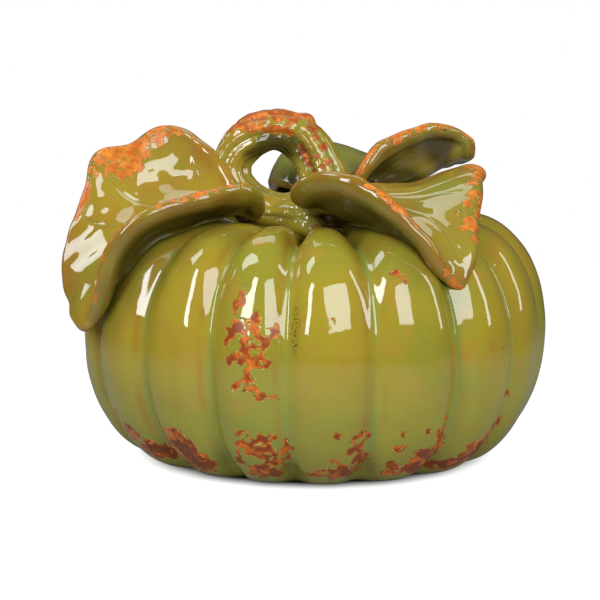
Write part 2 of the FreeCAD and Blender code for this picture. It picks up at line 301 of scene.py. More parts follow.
# Worn patches on the body: (angle in degrees, height, half width, half height, strength)
BODY_PATCHES = [
    (-18.0, 110, 2.4, 6, 0.86), (-19.5, 104, 2.2, 4, 0.80), (-17.5, 94, 9, 5, 0.76), (-14.0, 96, 4, 7, 0.70),
    (-20.5, 88, 4, 8, 0.72), (-13.5, 87, 10, 8, 0.76), (-10.0, 90, 4, 7, 0.74), (-17.0, 79, 7, 6, 0.76),
    (-12.5, 77, 6, 6, 0.74), (-20.0, 76, 3, 3, 0.70), (-15.0, 70, 4, 5, 0.70), (-16.0, 64, 9, 5, 0.72),
    (-13.0, 59, 4, 5, 0.74), (-19.0, 61, 3, 4, 0.66), (-10.0, 56, 4, 3, 0.72),
    (20.5, 121, 5, 2.2, 0.60), (22.5, 118, 3, 4, 0.50), (4.0, 98, 1.8, 2.5, 0.70), (24.5, 114, 2, 2, 0.55),
    (-66, 42, 3, 5, 0.72), (-62, 33, 5, 7, 0.78), (-58, 24, 8, 6, 0.95), (-52, 15, 11, 6, 1.1),
    (-39.5, 31, 7, 4, 0.76), (-38.5, 23, 10, 9, 1.15), (-36.0, 14, 10, 8, 1.2), (-44, 25, 4, 5, 0.76),
    (-18.0, 34, 5, 4, 0.74), (-12.0, 34, 6, 4, 0.74), (-15.5, 27, 12, 6, 0.80), (-11.0, 21, 9, 7, 0.86),
    (-14.0, 12, 11, 6, 0.92), (-20.0, 21, 4, 6, 0.74), (-7.5, 27, 4, 6, 0.76),
    (5.5, 36, 3.5, 3, 0.76), (11.5, 34, 6, 4, 0.74), (10.0, 27, 7, 6, 0.80), (12.0, 20, 6, 6, 0.88),
    (7.0, 12, 12, 5, 0.95), (0.5, 11, 7, 3, 0.78), (4.5, 20, 5, 3, 0.66),
    (22.0, 35, 3, 3, 0.80), (28.0, 35, 2.4, 2.4, 0.74), (21.5, 26, 5, 3, 0.92), (33.5, 41, 3, 3, 0.68),
    (33.0, 33, 6, 4, 0.74), (33.5, 25, 7, 7, 0.86), (30.5, 15, 11, 8, 1.25), (22.5, 11, 7, 4, 0.80),
    (20.5, 16, 3, 3, 0.70), (27.0, 21, 4, 4, 0.76),
    (57.0, 45, 2.6, 4, 0.76), (54.5, 37, 5, 5, 0.85), (52.0, 28, 8, 7, 1.05), (47.5, 18, 10, 6, 1.15),
    (42.5, 10, 12, 4, 1.05), (57.5, 30, 3, 4, 0.70),
    (72, 22, 8, 8, 0.80), (92, 17, 12, 7, 1.0), (111, 24, 6, 8, 0.76), (133, 16, 12, 8, 1.05),
    (155, 24, 7, 9, 0.76), (158, 92, 7, 12, 0.70), (176, 15, 12, 6, 1.0), (-164, 26, 6, 9, 0.74),
    (-142, 17, 12, 8, 1.05), (-121, 22, 8, 8, 0.76), (-100, 17, 10, 7, 1.0), (-82, 20, 8, 8, 0.95),
    (108, 70, 5, 9, 0.66), (-118, 96, 6, 10, 0.70),
]
# Painted shadow of the two front leaves, darkening the body below them: (x, y, z, radius, strength)
PAINTED_LEAF_SHADOW = [
    (-58, -74, 140, 15, 0.34), (-76, -84, 132, 17, 0.40), (-92, -84, 122, 17, 0.44),
    (-104, -78, 110, 16, 0.44), (-114, -66, 98, 15, 0.40), (-2, -66, 140, 13, 0.34),
    (18, -84, 137, 14, 0.38), (36, -95, 130, 14, 0.38), (52, -101, 120, 14, 0.36), (70, -99, 108, 12, 0.30),
]
# Dark iron grains, in the same terms as the worn patches
IRON_PATCHES = [
    (-4.8, 92, 2.6, 12, 1.0), (-62, 132, 4, 3, 0.8), (118, 60, 3, 12, 0.9), (-150, 100, 3, 9, 0.8),
]
# The grooves are tucked in further near the floor: by how much, round which radius, over what
# width, and below what height
TUCK, TUCK_RADIUS, TUCK_WIDTH, TUCK_TOP = 4.0, 104.0, 9.0, 60.0


def patch_wear(angle, points, patches):
    """How worn each point is: the strongest of the soft patches that reach it."""
    wear = np.zeros(points.shape[:-1])
    radius = np.hypot(points[..., 0], points[..., 1])
    for degrees, height, half_width, half_height, strength in patches:
        turn = (angle - radians(degrees) + pi) % (2 * pi) - pi
        reach = (radius * turn / half_width) ** 2 + ((points[..., 2] - height) / half_height) ** 2
        wear = np.maximum(wear, strength * np.exp(-0.7 * reach ** 1.3))
    return wear


def build_body(material):
    """The ribbed shell with its foot ring, recess, vent hole and sealed hollow."""
    angle = np.linspace(0, 2 * pi, BODY_COLUMNS, endpoint=False)
    outer = ribbed_grid(CREST, np.linspace(1, 0, BODY_ROWS), angle)
    hand = 0.45 * noise(outer, 70, 3) + 0.16 * noise(outer, 32, 5) + 0.12 * noise(outer, 18, 4)
    hand *= smooth(0.0, 12.0, outer[..., 2])
    off_centre = (np.hypot(outer[..., 0], outer[..., 1]) - TUCK_RADIUS) / TUCK_WIDTH
    tuck = TUCK * groove(angle)[None, :] * np.exp(-off_centre ** 2) * (outer[..., 2] < TUCK_TOP)
    outer -= grid_normals(outer) * (hand - tuck)[..., None]
    under = UNDERSIDE_RECESS
    floor = under + BOTTOM_WALL
    ring_inside = FOOT_RING_RADIUS - FOOT_RING_WIDTH
    # foot ring, recess and vent, as (radius, height)
    turned = [(FOOT_RING_RADIUS - 3, 0), (ring_inside + 1.2, 0), (ring_inside, 0.4),
              (ring_inside - under + 0.6, under - 0.6), (ring_inside - under - 1.0, under),
              (40, under), (12, under), (VENT_RADIUS + 0.8, under),
              (VENT_RADIUS, under + 0.8), (VENT_RADIUS, floor - 0.8), (VENT_RADIUS + 0.8, floor)]
    direction = np.stack([np.sin(angle), -np.cos(angle), 0 * angle], -1)
    lathe = np.stack([direction * r + np.array([0, 0, z]) for r, z in turned])
    cavity = ribbed_grid(cavity_rows(), np.linspace(0, 1, CAVITY_ROWS), angle)
    grid = np.concatenate([outer, lathe, cavity])
    rows = len(grid)
    points = np.concatenate([grid.reshape(-1, 3), [(0, 0, DIMPLE_HEIGHT), (0, 0, DIMPLE_HEIGHT - WALL)]])
    faces = ring_faces(rows, BODY_COLUMNS)
    faces += pole_faces(0, BODY_COLUMNS, rows * BODY_COLUMNS, True)
    faces += pole_faces((rows - 1) * BODY_COLUMNS, BODY_COLUMNS, rows * BODY_COLUMNS + 1, False)
    across = rib_place(angle) % 1.0
    shell = smooth(4, 30, outer[..., 2])
    pool_and_sheen = np.exp(-(np.minimum(across, 1 - across) / 0.045) ** 2)
    flank = 0.8 * np.exp(-((across - 0.89) / 0.04) ** 2) + 0.3 * np.exp(-((across - 0.10) / 0.03) ** 2)
    bare = 1 - smooth(0.2, 1.8, outer[..., 2] + 0.5 * noise(outer, 9, 8))

    def painted(outside, inside=0.0):
        """Values for every point: the outside skin, the rest, and the poles of the dimple and the cavity."""
        values = np.full((rows, BODY_COLUMNS), inside)
        values[:BODY_ROWS] = outside
        return np.append(values.ravel(), [0.0, inside])

    attributes = {
        # painted shadow of the front leaves on the body
        "painted_shade": painted(spots(outer, PAINTED_LEAF_SHADOW)),
        "iron": painted(patch_wear(angle[None, :], outer, IRON_PATCHES)),
        "wear": painted(patch_wear(angle[None, :], outer, BODY_PATCHES)),
        "bare": painted(bare, inside=1.0),
        "pool_and_sheen": painted(pool_and_sheen[None, :] * shell),
        "flank": painted(flank[None, :] * shell),
    }
    return new_piece("glazed_body", points, faces, attributes, material, "pumpkin_body")


# ---------------------------------------------------------------- stem

# Relief and wear on the loop, as spots: (x, y, z, radius, strength)
NUB = [(-4.5, -3, 195, 5.5, 3.6), (-2.0, -9, 190, 5.0, 1.6)]
SPLIT = [
    (-8, -11, 179, 4, 0.9), (-6.2, -11, 175.5, 3.6, 1.2), (-4.4, -11.5, 172, 3.4, 1.3),
    (-2.6, -12, 168.5, 3.4, 1.3), (-1, -12.5, 165, 3.2, 1.1), (0.2, -13, 161, 3.0, 0.9),
]
STRAND = [
    (-37, -12, 189.5, 5, 1.1), (-30, -12.5, 190.5, 5, 1.4),
    (-22, -12.5, 190, 5, 1.4), (-15, -12, 188, 5, 1.1),
]
# Wear painted straight onto the front of the loop, so without a y: (x, z, radius, strength)
LOOP_FRONT = -12
WORN_LEG = [
    (1.5, 184, 3.4, 0.80), (5.0, 179, 3.6, 0.84), (1.5, 174, 2.4, 0.74),
    (8.0, 171, 3.2, 0.80), (4.5, 168, 2.2, 0.72), (10.5, 164, 2.4, 0.66),
]
WORN_SPLIT = [
    (-8.0, 179, 2.2, 0.9), (-6.2, 175.5, 2.6, 1.1), (-4.4, 172, 2.6, 1.15),
    (-2.6, 168.5, 2.4, 1.1), (-1.0, 165, 2.2, 1.0), (0.2, 161, 2.0, 0.9),
]
WORN_STRAND = [
    (-38, 189.5, 3.2, 0.76), (-34, 190.5, 3.6, 0.88), (-30, 190.5, 3.6, 0.90),
    (-26, 190, 3.6, 0.90), (-22, 189.5, 3.6, 0.90), (-18, 188.5, 3.6, 0.88),
    (-14, 187, 3.2, 0.78),
]
GREEN_TOP = [
    (-34, 195, 3.2, 0.5), (-26, 195.5, 3.6, 0.6), (-18, 194, 3.6, 0.6),
    (-9, 189, 6, 0.9),
]
# The foot's toe knob, its worn rim, and the distance between the glaze streaks on its sides
KNOB = [(-3, -38, 137, 8, 8.0), (-2, -38, 143, 7, 3.5)]
WORN_KNOB = [(0, -47, 137, 2.2, 0.74)]
STREAK_SPACING = 15.0


def front_spots(points, places):
    """The strongest of soft spots on the front, at (x, z, radius, strength), in mm."""
    front = points.copy()
    front[..., 1] = np.where(points[..., 1] < -5, LOOP_FRONT, points[..., 1])
    return spots(front, [(x, LOOP_FRONT, z, radius, strength) for x, z, radius, strength in places])


def flute_creases(turns, phase, angle, width):
    """Depth, 0 to 1, of sharp creases between rounded flutes."""
    return np.clip(1 - np.sqrt(np.sin(turns * angle + phase) ** 2 + width), 0, 1) ** 1.5


def build_loop(material):
    """The fluted coil, a closed finger loop."""
    place = np.linspace(0, 1, LOOP_SECTIONS, endpoint=False)[:, None]
    angle = np.linspace(0, 2 * pi, LOOP_COLUMNS, endpoint=False)[None, :]
    control = np.asarray(LOOP, float)
    middle = closed_basis(len(LOOP), place[:, 0]) @ control
    tangent = unit(closed_basis(len(LOOP), place[:, 0], slope=True) @ control[:, :3])
    outward = unit(np.cross([0, 1.0, 0], tangent))
    sideways = np.cross(tangent, outward)
    twist = angle + 0.35 + 0.3 * np.sin(2 * pi * place + 1.0) + 0.12 * np.sin(6 * pi * place)
    crease = flute_creases(FLUTES / 2, 0.0, twist, 0.004)
    second = flute_creases(FLUTES, 0.8, twist, 0.01)
    uneven = 1 + 0.45 * np.sin(2 * pi * place * 3 + 0.5) * np.cos(angle)
    radius = middle[:, 3:4] * (1.03 - FLUTE_DEPTH * crease * uneven - 0.05 * second)
    spokes = np.cos(angle)[..., None] * outward[:, None] + np.sin(angle)[..., None] * sideways[:, None]
    points = middle[:, None, :3] + radius[..., None] * spokes
    # the nub where the handle springs from the thick leg, the split down that leg, the strand on the arch
    nub, split, strand = spots(points, NUB), spots(points, SPLIT), spots(points, STRAND)
    lumps = 0.6 * noise(points, 24, 11) + 0.35 * noise(points, 10, 12) + 0.14 * noise(points, 4, 14)
    points += spokes * (lumps + nub - 1.5 * split + strand)[..., None]
    faces = ring_faces(LOOP_SECTIONS, LOOP_COLUMNS, closed_rows=True)
    height = points[..., 2]
    facing_up = spokes[..., 2]
    top = smooth(-0.15, 0.75, facing_up * 0.75 + (height - 188.5) / 13 + 0.22 * noise(points, 14, 13))
    worn = np.maximum(0.80 * top - 0.6 * front_spots(points, GREEN_TOP), front_spots(points, WORN_LEG))
    worn = np.maximum(worn, front_spots(points, WORN_STRAND))
    # painted shade on the underside of the arch
    under = smooth(-0.1, 0.4, -facing_up + 0.2 * noise(points, 12, 15)) * smooth(168, 176, height)
    attributes = {
        "wear": np.maximum(np.clip(worn, 0, 0.82), front_spots(points, WORN_SPLIT)).ravel(),
        "pool_and_sheen": (crease ** 0.7 * 0.7).ravel(),
        "flank": (0.6 * second ** 0.8).ravel(),
        "iron": np.clip(1.3 * split, 0, 1).ravel(),
        "painted_shade": (0.95 * under).ravel(),
    }
    return new_piece("stem_coil", points.reshape(-1, 3), faces, attributes, material,
                     "stem_loop")


def build_foot(material):
    """The wad with toes that beds the coil in the dimple."""
    t = np.linspace(0, 1, FOOT_ROWS)[:, None]
    angle = np.linspace(0, 2 * pi, FOOT_COLUMNS, endpoint=False)[None, :]
    line = basis(len(FOOT_PROFILE), t[:, 0]) @ np.asarray(FOOT_PROFILE, float)
    toe = 0.5 + 0.5 * np.cos(TOES * (angle + TOE_TWIST * (1 - t) + 0.35))
    radius = line[:, 0:1] * (1 + TOE_DEPTH * line[:, 2:3] * (toe - 0.45))
    points = np.stack([FOOT_CENTRE[0] + radius * np.sin(angle), FOOT_CENTRE[1] - radius * np.cos(angle),
                       line[:, 1:2] + 0 * radius], -1)
    normals = grid_normals(points)
    # streaks that run across the saddle, lower towards the right-hand toe
    across = points[..., 2] + 0.30 * points[..., 0] + 2.2 * noise(points, 34, 22)
    streak = np.abs(np.sin(across * 2 * pi / STREAK_SPACING)) ** 0.8
    side = smooth(0.1, 0.6, line[:, 2:3]) + 0 * radius
    relief = (streak - 0.5) * 1.3 * side + spots(points, KNOB) + 0.5 * noise(points, 14, 21)
    points += normals * relief[..., None]
    bottom = points[0].mean(0)
    top = points[-1].mean(0)
    total = FOOT_ROWS * FOOT_COLUMNS
    faces = ring_faces(FOOT_ROWS, FOOT_COLUMNS)
    faces += pole_faces(0, FOOT_COLUMNS, total, True)
    faces += pole_faces(total - FOOT_COLUMNS, FOOT_COLUMNS, total + 1, False)
    flat = points.reshape(-1, 3)
    groove_mark = (1 - streak) * side
    attributes = {
        "wear": np.append(spots(points, WORN_KNOB).ravel(), [0, 0]),
        "pool_and_sheen": np.append((0.8 * groove_mark).ravel(), [0, 0]),
        "flank": np.append((0.5 * groove_mark).ravel(), [0, 0]),
        # painted shade, darker towards the bottom of the wad where it meets the body under the leaves
        "painted_shade": np.append(smooth(136, 126, points[..., 2]).ravel() * 0.6, [0, 0]),
    }
    return new_piece("stem_wad", np.concatenate([flat, [bottom, top]]), faces, attributes, material,
                     "stem_foot")


# ---------------------------------------------------------------- leaves


def leaf_place(a, b):
    """Net parameters of a point (a, b from -1 to 1), pressed into the leaf's rounded outline."""
    length = np.maximum(np.hypot(a, b), 1e-9)
    reach = np.maximum(np.abs(a), np.abs(b))
    c, q = a / length, b / length
    size = (np.abs(c) ** LEAF_SQUARENESS + np.abs(q) ** LEAF_SQUARENESS) ** (1 / LEAF_SQUARENESS)
    return 0.5 + 0.5 * reach * c / size, 0.5 + 0.5 * reach * q / size, reach


def leaf_surface(net, u, v):
    """Points of the spline surface over a net, u from stem to tip and v across."""
    along = basis(net.shape[0], u)
    across = basis(net.shape[1], v)
    return np.einsum("...i,...j,ijc->...c", along, across, net)


# Veins of each leaf: (along, across) where a vein starts and where it ends, its bow and its depth in mm
LEAF_VEINS = {
    "leaf_left": [
        (0.64, 0.06, 0.44, 0.42, 0.0, 0.6), (0.81, 0.13, 0.64, 0.45, 0.02, 0.5),
        (0.22, 0.05, 0.19, 0.30, 0.0, 0.35),
    ],
    "leaf_right": [
        (0.20, 0.33, 0.56, 0.10, 0.02, 0.35), (0.22, 0.36, 0.56, 0.26, 0.02, 0.35),
        (0.30, 0.48, 0.88, 0.62, 0.02, 0.4),
    ],
    "leaf_back_right": [
        (0.1, 0.5, 0.9, 0.5, 0.0, 0.6), (0.3, 0.5, 0.7, 0.9, 0.02, 0.4), (0.25, 0.5, 0.6, 0.1, 0.02, 0.4),
    ],
    "leaf_back": [
        (0.1, 0.5, 0.92, 0.5, 0.0, 0.6), (0.3, 0.5, 0.62, 0.1, 0.02, 0.4),
        (0.3, 0.5, 0.66, 0.9, 0.02, 0.4),
    ],
}
# Worn spots of each leaf: (x, y, z, radius, strength)
LEAF_WEAR = {
    "leaf_left": [
        (-87, 13, 190, 8, 0.62), (-86, 9, 187, 6, 0.60), (-92, 9, 182, 7, 0.72), (-99, 8, 176, 8, 0.85),
        (-107, 6, 173, 9, 0.9), (-116, 5, 172, 9, 0.85), (-121, 3, 170, 7, 0.62), (-117, -1, 165, 8, 0.85),
        (-110, -2, 164, 8, 0.8), (-104, 2, 168, 8, 0.72), (-128, -2, 161, 6, 0.66),
        (-132, -5, 154, 7, 0.7), (-133, -10, 148, 7, 0.7), (-134, -14, 142, 6, 0.6),
        (-66, -75, 159, 6, 0.45), (-76, -79, 156, 7, 0.55), (-87, -82, 151, 8, 0.68),
        (-98, -84, 146, 8, 0.75), (-107, -84, 140, 8, 0.70), (-117, -83, 130, 7, 0.55),
    ],
    "leaf_right": [
        (90, -17, 169, 7, 0.75), (94, -24, 164, 7, 0.82), (93, -33, 162, 7, 0.78), (87, -40, 161, 6, 0.66),
        (90, -50, 154, 7, 0.82), (84, -59, 151, 5, 0.72), (90, -60, 146, 6, 0.80), (80, -66, 147, 4, 0.70),
        (86, -70, 141, 7, 0.86), (81, -74, 140, 4, 0.66), (88, -76, 134, 5, 0.68), (2, -79, 174, 6, 0.50),
        (12, -87, 173, 6, 0.62), (21, -92, 171, 7, 0.72), (30, -96, 167, 8, 0.85), (38, -99, 161, 8, 0.88),
        (46, -102, 154, 7, 0.80), (54, -104, 147, 6, 0.62),
    ],
    "leaf_back_right": [
        (34, 26, 171, 8, 0.5), (46, 30, 179, 9, 0.75), (56, 34, 183, 9, 0.85), (66, 39, 185, 9, 0.85),
        (76, 45, 185, 7, 0.66), (90, 52, 179, 6, 0.5),
    ],
    "leaf_back": [
        (42, 92, 160, 12, 0.7), (-28, 96, 152, 10, 0.6), (0, 124, 128, 12, 0.7),
    ],
}
# Painted shade on the back leaf's face, where the loop hangs over it: (x, y, z, radius, strength)
BACK_LEAF_PAINTED_SHADE = [(-21, 33, 154, 13, 0.85), (-24, 44, 160, 9, 0.5)]


def cut_veins(net, face, veins):
    """Thin incised veins: how far they raise each point of the face, in mm, and how much they mark it."""
    relief = np.zeros(face.shape[:2])
    vein_mark = np.zeros(face.shape[:2])
    for su, sv, eu, ev, bow, depth in veins:
        s = np.linspace(0, 1, VEIN_STEPS)
        line_u = np.clip(su + (eu - su) * s, 0, 1)
        line_v = np.clip(sv + (ev - sv) * s + bow * np.sin(pi * s), 0, 1)
        line = leaf_surface(net, line_u, line_v)
        fade = np.sin(pi * np.clip(0.12 + 0.8 * s, 0, 1)) ** 0.5
        gap = np.full(face.shape[:2], 1e9)
        share = np.zeros(face.shape[:2])
        for point, strong in zip(line, fade):
            distance = ((face - point) ** 2).sum(-1)
            nearer = distance < gap
            gap = np.where(nearer, distance, gap)
            share = np.where(nearer, strong, share)
        gap = np.sqrt(gap)
        relief -= depth * share * np.exp(-(gap / 1.1) ** 2)
        relief += 0.35 * depth * share * np.exp(-((gap - 3.4) / 2.4) ** 2)
        vein_mark = np.maximum(vein_mark, share * np.exp(-(gap / 1.2) ** 2))
    return relief, vein_mark


def build_leaf(name, node, material, seed, shade=1.0, wash_and_sheen=0.0, streaks=0.0, painted_shade_spots=()):
    """A slab leaf. Of its last four arguments: the first sets the painted shade on the underside, the next
    the face's green (partly tint, partly a painted reflection), the next painted streaks of reflection that
    lighten the underside near the tip, and the last lists spots of painted shade on the face.
    """
    net = np.asarray(LEAVES[node], float)
    n, m = LEAF_ROWS, LEAF_COLUMNS
    a = np.linspace(-1, 1, n)[:, None] + np.zeros((1, m))
    b = np.linspace(-1, 1, m)[None, :] + np.zeros((n, 1))
    u, v, reach = leaf_place(a, b)
    face = leaf_surface(net, u, v)
    step = 1e-3
    du = leaf_surface(net, np.clip(u + step, 0, 1), v) - leaf_surface(net, np.clip(u - step, 0, 1), v)
    dv = leaf_surface(net, u, np.clip(v + step, 0, 1)) - leaf_surface(net, u, np.clip(v - step, 0, 1))
    normal = unit(np.cross(du, dv))
    if normal[n // 2, m // 2, 2] < 0:
        normal = -normal
    relief, vein_mark = cut_veins(net, face, LEAF_VEINS[node])
    edge = smooth(0.8, 1.0, reach)
    wavy = 1.5 * noise(face, 38, seed) + 0.55 * noise(face, 15, seed + 1)
    wavy = wavy * (0.55 + 0.45 * edge)
    swell = smooth(0.84, 0.97, reach)
    thick = LEAF_THICKNESS * (1 + 0.35 * swell) * (1 + 0.08 * noise(face, 24, seed + 2))
    top = face + normal * (relief * (1 - edge) + wavy)[..., None]
    under = face + normal * (wavy - thick + 0.3 * noise(face, 20, seed + 3))[..., None]
    # rim: the boundary of the grid, taken round once
    ring = [(i, 0) for i in range(n)] + [(n - 1, k) for k in range(1, m)]
    ring += [(i, m - 1) for i in range(n - 2, -1, -1)] + [(0, k) for k in range(m - 2, 0, -1)]
    ri = np.array([r[0] for r in ring])
    rk = np.array([r[1] for r in ring])
    rim_top, rim_under, rim_normal = top[ri, rk], under[ri, rk], normal[ri, rk]
    forward = np.roll(rim_top, -4, 0) - np.roll(rim_top, 4, 0)
    outward = unit(np.cross(forward, rim_normal))
    inside = face[n // 2, m // 2]
    if (outward * (rim_top - inside)).sum() < 0:
        outward = -outward
    half = 0.5 * (rim_top - rim_under)
    centre = 0.5 * (rim_top + rim_under)
    uneven = 1.0 + 0.12 * noise(rim_top, 14, seed + 4)
    bulge = np.linalg.norm(half, axis=-1, keepdims=True) * uneven[:, None]
    shares = [s / LEAF_RIM_SEGMENTS for s in range(1, LEAF_RIM_SEGMENTS)]
    rim = [centre + half * cos(pi * share) + outward * bulge * sin(pi * share) for share in shares]
    points = np.concatenate([top.reshape(-1, 3), under.reshape(-1, 3)] + rim)
    total = n * m
    count = len(ring)
    faces = []
    for i in range(n - 1):
        for k in range(m - 1):
            p = i * m + k
            faces.append((p, p + m, p + m + 1, p + 1))
            faces.append((total + p, total + p + 1, total + p + m + 1, total + p + m))
    layers = [ri * m + rk]
    layers += [2 * total + s * count + np.arange(count) for s in range(len(shares))]
    layers.append(total + ri * m + rk)
    for upper, lower in zip(layers[:-1], layers[1:]):
        for k in range(count):
            following = (k + 1) % count
            faces.append((int(upper[following]), int(upper[k]), int(lower[k]), int(lower[following])))
    wear = 0.38 * smooth(0.88, 1.0, reach) * (0.5 + 0.5 * noise(face, 45, seed + 5))
    wear = np.clip(wear + spots(face, LEAF_WEAR[node]), 0, 0.9)
    rim_wear = np.maximum(wear[ri, rk], 0.42 + 0.24 * noise(rim_top, 26, seed + 6))
    # painted streaks of reflection on the underside, brighter towards the tip: they lighten the painted
    # shade and tint it teal
    drawn = noise(np.stack([80 * u, 14 * v, 0 * u], -1), 14, seed + 7)
    lit = streaks * smooth(-0.4, 0.8, drawn) * smooth(0.3, 0.75, u)
    under_painted_shade = (0.35 + 0.65 * smooth(0.995, 0.86, reach)) * shade * (1 - lit)

    def painted(on_top, on_under, on_rim):
        """Values for every point; on_rim gives the rim's, a share of the way from top to underside."""
        rim_values = [np.zeros(count) + on_rim(share) for share in shares]
        return np.concatenate([on_top.ravel(), on_under.ravel()] + rim_values)

    values = {
        "wear": painted(wear, np.zeros((n, m)), lambda share: rim_wear * cos(0.42 * pi * share)),
        # glaze pooled in the veins and the face's green; on the underside, the painted streaks of reflection
        "pool_and_sheen": painted(wash_and_sheen + 0.55 * vein_mark, lit, lambda share: 0.0),
        "flank": painted(0.9 * smooth(0.7, 1.0, reach), 0.7 * edge, lambda share: 1.0),
        # painted shade: spots on the face, the underside darker away from its rim, the rim darker towards
        # the underside
        "painted_shade": painted(spots(face, painted_shade_spots), under_painted_shade,
                        lambda share: shade * 0.35 * smooth(0.45, 1.0, share)),
    }
    return new_piece(name, points, faces, values, material, node)


# ---------------------------------------------------------------- glaze


class Nodes:
    """Shorthand for building a node tree."""

    def __init__(self, material):
        material.use_nodes = True
        self.tree = material.node_tree
        self.tree.nodes.clear()

    def add(self, kind, inputs=None, **settings):
        node = self.tree.nodes.new(kind)
        for key, value in settings.items():
            setattr(node, key, value)
        for key, value in (inputs or {}).items():
            if isinstance(value, bpy.types.NodeSocket):
                self.tree.links.new(value, node.inputs[key])
            else:
                node.inputs[key].default_value = value
        return node

    def math(self, operation, a, b=0.0, c=0.0, clamp=False):
        node = self.add("ShaderNodeMath", {0: a, 1: b, 2: c}, operation=operation, use_clamp=clamp)
        return node.outputs[0]

    def step(self, value, low, high):
        node = self.add("ShaderNodeMapRange", {"Value": value, "From Min": low, "From Max": high},
                        interpolation_type="SMOOTHSTEP")
        return node.outputs["Result"]

    def mix(self, share, a, b):
        node = self.add("ShaderNodeMix", data_type="RGBA")
        for socket, value in ((node.inputs[0], share), (node.inputs[6], a), (node.inputs[7], b)):
            if isinstance(value, bpy.types.NodeSocket):
                self.tree.links.new(value, socket)
            else:
                socket.default_value = value
        return node.outputs[2]

    def noise(self, place, size, detail=2.0, rough=0.5):
        """Noise with features about `size` mm across."""
        node = self.add("ShaderNodeTexNoise", {"Vector": place, "Scale": 1 / (size * MM), "Detail": detail,
                                               "Roughness": rough})
        return node.outputs["Fac"]

    def attribute(self, name):
        return self.add("ShaderNodeAttribute", attribute_name=name).outputs["Fac"]


def colour(red, green, blue):
    """Linear colour from 0-255 screen values."""
    shares = (red / 255, green / 255, blue / 255)
    return tuple(((c + 0.055) / 1.055) ** 2.4 if c > 0.04 else c / 12.92 for c in shares) + (1.0,)


OLIVE = colour(174, 151, 42)
OCHRE = colour(178, 142, 48)
MOSS = colour(155, 147, 46)
TEAL = colour(122, 152, 80)
RUST = colour(166, 106, 38)
STRAW = colour(196, 178, 84)
LOWER_GREEN = colour(150, 160, 56)
# dark olive of the painted shade
PAINTED_SHADE_OLIVE = colour(46, 41, 11)
ORANGE = colour(242, 147, 56)
EMBER = colour(220, 112, 36)
RED_BROWN = colour(152, 72, 32)
CLAY = colour(130, 68, 38)
DRY_CLAY = colour(150, 92, 62)
IRON = colour(62, 44, 18)

# How far worn a spot has to be before the slip, the browner middle of a patch and dry clay show
SLIP_SHOWS = (1.10, 1.18)
MIDDLE_SHOWS = (1.22, 1.30)
CLAY_SHOWS = (1.78, 1.93)
# In the same terms: the pale band just outside a patch, partly a painted highlight on the glaze's rolled
# edge, and the step down from the glaze into it
HALO_SHOWS = (1.01, 1.14)
GLAZE_LIP = (1.05, 1.19)
GLAZE_IOR = 1.66


